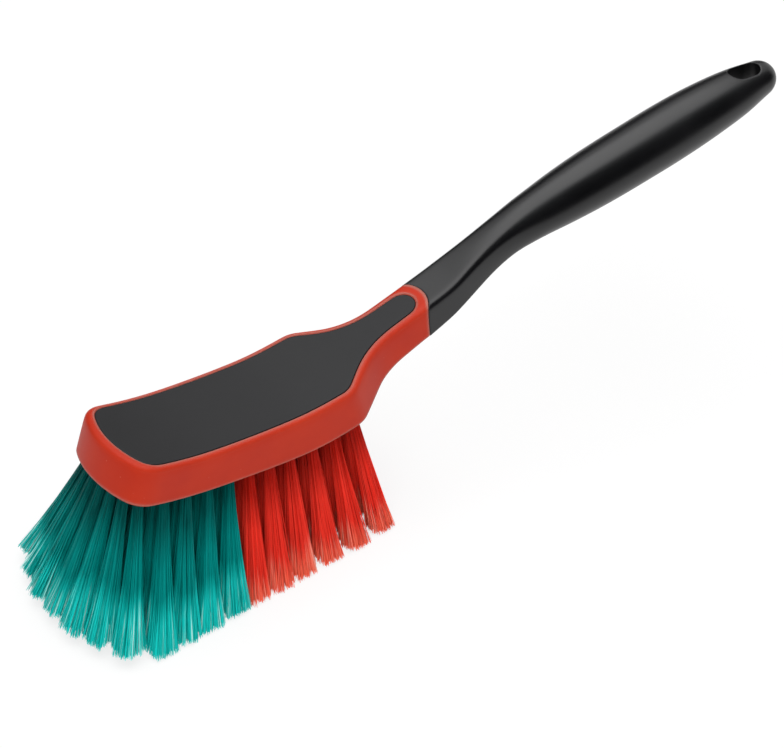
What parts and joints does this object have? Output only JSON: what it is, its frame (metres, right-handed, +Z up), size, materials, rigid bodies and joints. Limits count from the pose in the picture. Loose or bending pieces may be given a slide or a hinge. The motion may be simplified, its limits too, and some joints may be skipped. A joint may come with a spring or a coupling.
{
  "type": "vehicle wash hand brush",
  "caption": "Long-handled hand brush with a curved head, two colours of flared bristles, a soft bumper round the head and a hanging hole in the grip.",
  "frame": {"origin": "middle of the object's length and width, on the surface that the bristle tips stand on", "axes": "+X from the front of the head to the end of the handle, +Y across the head, +Z up"},
  "size_m": [0.4412, 0.102, 0.1432],
  "materials": {
    "black_moulding": "satin moulded polypropylene",
    "panel_black": "fine matt texture",
    "block_black": "matt",
    "red_bumper": "satin soft elastomer",
    "green_filament": "polyester filament, split at the tips",
    "red_filament": "polyester filament, split at the tips"
  },
  "bodies": {
    "root": {"handle": "black_moulding", "top_panel": "panel_black", "brush_block": "block_black", "bumper": "red_bumper", "green_tufts_front": "green_filament", "green_tufts_01": "green_filament", "green_tufts_02": "green_filament", "green_tufts_03": "green_filament", "green_tufts_04": "green_filament", "red_tufts_01": "red_filament", "red_tufts_02": "red_filament", "red_tufts_03": "red_filament", "red_tufts_04": "red_filament", "red_tufts_05": "red_filament", "red_tufts_06": "red_filament"}
  },
  "joints": []
}
